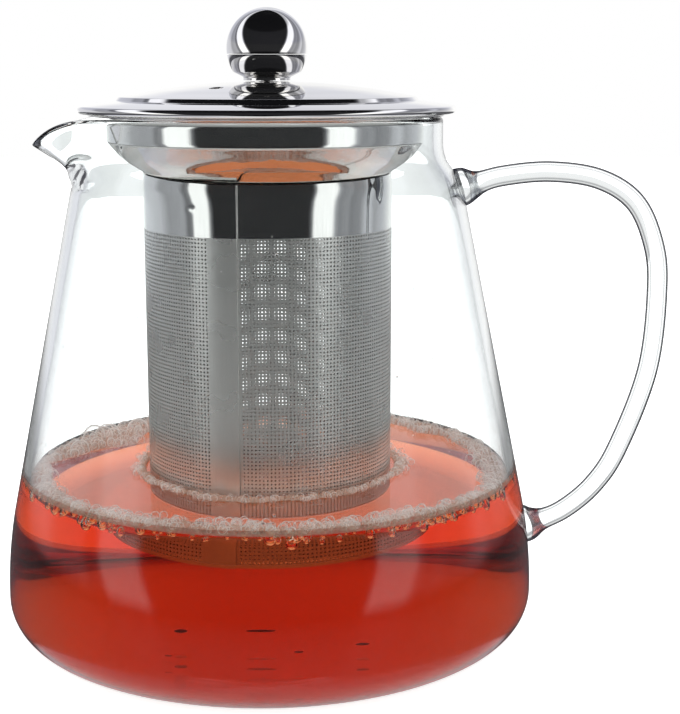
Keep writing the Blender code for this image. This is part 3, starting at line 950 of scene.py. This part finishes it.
def foamSheet(fixed, widthAt, sign, cells, columns, rows, name):
    # a ring inwards (-1) or outwards (1) from the fixed radius; its height at each point is the tallest
    # half ball over it: z = sqrt(b^2 - d^2), and it sinks to the tea at its free edge
    turn = np.arange(columns) * 2 * math.pi / columns
    across = np.linspace(0, 1, rows)
    where = fixed + sign * widthAt(turn)[:, None] * across[None, :]
    x, y = where * np.cos(turn)[:, None], where * np.sin(turn)[:, None]
    cellTurn = dice.uniform(0, 2 * math.pi, cells)
    cellRadius = fixed + sign * widthAt(cellTurn) * dice.uniform(0.02, 0.98, cells)
    small, large = foam["cellSizes"]
    size = (small + (large - small) * dice.power(0.45, cells)) * mm
    height = np.zeros_like(x)
    block = 40
    for start in range(0, columns, block):
        part = slice(start, start + block)
        gap = abs((cellTurn - turn[part].mean() + math.pi) % (2 * math.pi) - math.pi)
        near = gap < block * math.pi / columns + 0.06
        dx = x[part][..., None] - cellRadius[near] * np.cos(cellTurn[near])
        dy = y[part][..., None] - cellRadius[near] * np.sin(cellTurn[near])
        height[part] = np.sqrt(np.clip(size[near] ** 2 - dx**2 - dy**2, 0, None)).max(-1)
    edge = np.clip(4 * (1 - across), 0, 1)[None, :]
    top = tea["surface"] + foam["level"] + (height + foam["skin"]) * edge - foam["edgeSink"] * (1 - edge)
    low = np.full_like(top, tea["surface"] - foam["edgeSink"])
    topGrid = np.stack([x, y, top + potBase], -1).reshape(-1, 3)
    lowGrid = np.stack([x, y, low + potBase], -1)[:, [0, -1]].reshape(-1, 3)
    a = np.arange(columns * rows).reshape(columns, rows)
    b = columns * rows + np.arange(columns * 2).reshape(columns, 2)
    section = np.concatenate([b[:, :1], a, b[:, 1:], b[:, :1]], 1)
    section = np.concatenate([section, section[:1]], 0)
    addPiece(name, np.concatenate([topGrid, lowGrid]), gridFaces(section), foamFinish, "pot", sharp=0)


def placed(turn, radius, height):
    return np.stack([radius * np.cos(turn), radius * np.sin(turn), potBase + height], -1)


wallInside = float(wetRadiusAt(tea["surface"])) - tea["overlap"]
basketFoam = basket["radius"] + foam["basketGap"]
foamSheet(wallInside - foam["wallGap"], wallFoamWidth, -1, foam["wallCells"], 2200, 30, "foam_along_glass")
foamSheet(basketFoam, basketFoamWidth, 1, foam["basketCells"], 1100, 16, "foam_round_basket")

smallest, largest = foam["bubbleSizes"]
count = foam["bubbles"]
turn = dice.uniform(0, 2 * math.pi, count)
size = (smallest + (largest - smallest) * dice.power(0.5, count)) * mm
radius = wallInside - size * 0.95 - wallFoamWidth(turn) * dice.uniform(0, 1, count) ** 1.2
wallBubbles = placed(turn, radius, tea["surface"] + 0.35 * mm + size * 0.35)
wallSizes = size

count = foam["basketBubbles"]
turn = dice.uniform(0, 2 * math.pi, count)
size = (smallest + foam["basketShare"] * (largest - smallest) * dice.power(0.5, count)) * mm
radius = basketFoam + size + basketFoamWidth(turn) * dice.uniform(0, 1.2, count)
centres = [placed(turn, radius, tea["surface"] + 0.3 * mm + size * 0.3)]
sizes = [size]

count = foam["patchBubbles"]
turn = dice.normal(foam["patchTurn"], foam["patchSpread"] * 0.6, count)
size = dice.uniform(*foam["patchSizes"], count) * mm
radius = wallInside - size - foam["patchWidth"] * dice.uniform(0, 0.8, count)
centres.append(placed(turn, radius, tea["surface"] + size * 0.15))
sizes.append(size)
innerBubbles = manyBalls(np.concatenate(centres), np.concatenate(sizes), 8, 12)
addPiece("foam_bubbles_inner", *innerBubbles, filmFinish, "pot", sharp=0)
addPiece("foam_bubbles_wall", *manyBalls(wallBubbles, wallSizes, 6, 10), filmFinish, "pot", sharp=0)

count = foam["hanging"]
smallest, more = foam["hangingSizes"]
turn = dice.uniform(0, 2 * math.pi, count)
size = (smallest + more * dice.power(0.5, count)) * mm
depth = size * 0.3 + foam["hangingDepth"] * dice.power(0.35, count)
radius = wetRadiusAt(tea["surface"] - depth) - tea["overlap"] - size * 1.02
hanging = manyBalls(placed(turn, radius, tea["surface"] - depth - foam["edgeSink"]), size, 8, 14)
addPiece("bubbles_under_surface", *hanging, airFinish, "pot", sharp=0)

count = foam["drops"]
lowest, higher = foam["dropHeights"]
smallest, more = foam["dropSizes"]
turn = dice.uniform(0, 2 * math.pi, count)
z = tea["surface"] + (lowest + higher * dice.power(0.6, count)) * mm
size = (smallest + more * dice.power(0.35, count)) * mm
radius = wetRadiusAt(z) - tea["overlap"] - size * 0.15
addPiece("drops_inside_glass", *manyBalls(placed(turn, radius, z), size, 5, 8), waterFinish, "pot", sharp=0)

leaf = {
    "count": 5,
    "turn": math.radians(-90),   # towards the front
    "spread": 0.9,
    "radii": (14, 46),           # mm from the axis
    "sizes": (0.5, 1.2),
    "heights": (0.2, 3),         # mm above the floor
    "shape": [2.2, 1.0, 0.12],   # long, wide, thick
}
count = leaf["count"]
turn = leaf["turn"] + dice.uniform(-leaf["spread"], leaf["spread"], count)
radius = dice.uniform(*leaf["radii"], count) * mm
size = dice.uniform(*leaf["sizes"], count) * mm
centres = placed(turn, radius, pot["wall"] + size * 0.3 + dice.uniform(*leaf["heights"], count) * mm)
points, faces = manyBalls(centres, size, 5, 8)
each = len(points) // count
middle = np.repeat(centres, each, 0)
stretch = np.repeat(dice.uniform(0.3, 1.4, (count, 3)) * leaf["shape"], each, 0)
addPiece("tea_leaf_bits", middle + (points - middle) * stretch, faces, leafFinish, "pot", sharp=0)
print("tea and foam made")


# Floor, light and camera

studio = {
    "floorWidth": 4.0,
    "floorFront": -0.105,    # the table ends here, so that steel mirrors the dark studio in front of it
    "floorBack": 2.0,
    "floorTints": ("#f7f7f8", "#fbfbfb"),
    "floorMottle": 3.0,
    "floorGlow": 0.8,
    "worldStrength": 1.0,
    # brightness round the horizon; 0 is the side the camera stands on, + is towards the handle, degrees
    "bands": [(-180, 0.97), (-160, 1.1), (-148, 0.8), (-118, 0.72), (-108, 0.42), (-90, 0.48),
              (-84, 0.2), (-79, 0.3), (-76, 1.45), (-57, 1.5), (-53, 0.2), (-50, 0.022), (43, 0.025),
              (46, 0.2), (49, 1.45), (67, 1.5), (71, 0.5), (75, 0.32), (84, 0.4), (88, 0.3), (99, 0.36),
              (105, 0.6), (112, 0.75), (120, 0.45), (137, 0.65), (156, 1.1), (180, 0.97)],
    # share of it at heights of the direction, from straight down to straight up
    "heights": [(-1.0, 0.9), (-0.72, 0.95), (-0.54, 0.8), (-0.5, 0.12), (-0.17, 0.12), (-0.11, 1.0),
                (0.15, 1.0), (0.25, 0.82), (0.7, 0.8), (0.76, 0.35), (1.0, 0.3)],
    # least light through glass, at the same heights
    "underGlass": [(-1.0, 0.9), (-0.3, 0.42), (-0.2, 0.28), (-0.15, 0.0)],
    "inWall": 0.22,          # least light mirrored inside a glass wall
    "lean": 1.0,             # how far the side panels lean away from the camera
    "shadeTint": (0.97, 0.98, 1.05),
    "cameraAt": (0.0183, -0.380, 0.145),
    "cameraTilt": 78.9,
    "lens": 75.1,
}

floorMaterial, tree, where = newMaterial("paleStudioFloor")
mottle = addNode(tree, "TexNoise", {"Scale": studio["floorMottle"], "Vector": where}).outputs["Fac"]
board = principled(tree, roughness=0.6, glowColor=linear("#ffffff"), glow=studio["floorGlow"],
                   baseColor=mixed(tree, mottle, studio["floorTints"]))
passed = addNode(tree, "LightPath")
mirrored = addNode(tree, "Clamp", {"Value": passed.outputs["Glossy Depth"]}).outputs["Result"]
closeMaterial(floorMaterial, layered(tree, mirrored, board, transparent(tree)))   # open to mirrored rays
half, front, back = studio["floorWidth"] / 2, studio["floorFront"], studio["floorBack"]
mesh = bpy.data.meshes.new("studio_floor")
mesh.from_pydata([(-half, front, 0), (half, front, 0), (half, back, 0), (-half, back, 0)], [], [(0, 1, 2, 3)])
mesh.materials.append(floorMaterial)
floor = bpy.data.objects.new("studio_floor", mesh)
floor.location = (0, 0, potBase - 0.1 * mm)
scene.collection.objects.link(floor)

world = bpy.data.worlds.new("softStudio")
scene.world = world
world.use_nodes = True
tree = world.node_tree
tree.nodes.clear()


def sums(operation, *values):
    # one arithmetic node; its inputs in order
    return addNode(tree, "Math", {"operation": operation, **dict(enumerate(values))}).outputs[0]


# direction of the ray: azimuth from the camera's side, sheared by the lean, and height
where = addNode(tree, "TexCoord").outputs["Generated"]
axes = addNode(tree, "SeparateXYZ", {"Vector": where}).outputs
backwards = sums("MULTIPLY_ADD", axes["Z"], studio["lean"], sums("MULTIPLY", axes["Y"], -1.0))
place = stretched(tree, sums("ARCTAN2", axes["X"], backwards), 0.0, 1.0, start=-math.pi, end=math.pi)
height = stretched(tree, axes["Z"], 0.0, 1.0, start=-1.0)
bands = [((angle + 180) / 360, level) for angle, level in studio["bands"]]
heights = [((z + 1) / 2, share) for z, share in studio["heights"]]
under = [((z + 1) / 2, level) for z, level in studio["underGlass"]]

# panels and their dark gaps, then the least light for rays that have been through glass
panels = colours(tree, "MULTIPLY", 1.0, rampOf(tree, bands, place, studio["shadeTint"]),
                 rampOf(tree, heights, height, studio["shadeTint"]))
seen = addNode(tree, "LightPath").outputs
through, bounced = seen["Transmission Depth"], seen["Glossy Depth"]
inGlass = addNode(tree, "Clamp", {"Value": through}).outputs["Result"]
panels = colours(tree, "LIGHTEN", inGlass, panels, rampOf(tree, under, height))
panels = colours(tree, "LIGHTEN", sums("COMPARE", through, 1.5, 0.6), panels, (*[studio["inWall"]] * 3, 1))

# who sees the panels: every mirror that no glass covers, and a single reflection seen through one to
# six glass surfaces; all other rays see plain white
mirrored = addNode(tree, "Clamp", {"Value": bounced}).outputs["Result"]
once = sums("LESS_THAN", bounced, 1.5)
behind = sums("MULTIPLY", once, sums("COMPARE", through, 3.5, 2.6))
bare = sums("LESS_THAN", through, 0.5)
banded = sums("MULTIPLY", mirrored, sums("MAXIMUM", behind, bare))
colour = colours(tree, "MIX", banded, (1.0, 1.0, 1.0, 1), panels)
light = addNode(tree, "Background", {"Strength": studio["worldStrength"], "Color": colour})
addNode(tree, "OutputWorld", {"Surface": light.outputs["Background"]})

cameraData = bpy.data.cameras.new("studioCamera")
cameraData.lens = studio["lens"]
cameraData.sensor_width = 36
camera = bpy.data.objects.new("studioCamera", cameraData)
camera.location = studio["cameraAt"]
camera.rotation_euler = (math.radians(studio["cameraTilt"]), 0, 0)
scene.collection.objects.link(camera)
scene.camera = camera

scene.view_settings.view_transform = "Standard"
scene.cycles.max_bounces = 24
scene.cycles.transmission_bounces = 24
scene.cycles.transparent_max_bounces = 32
scene.cycles.glossy_bounces = 8
print("studio made")
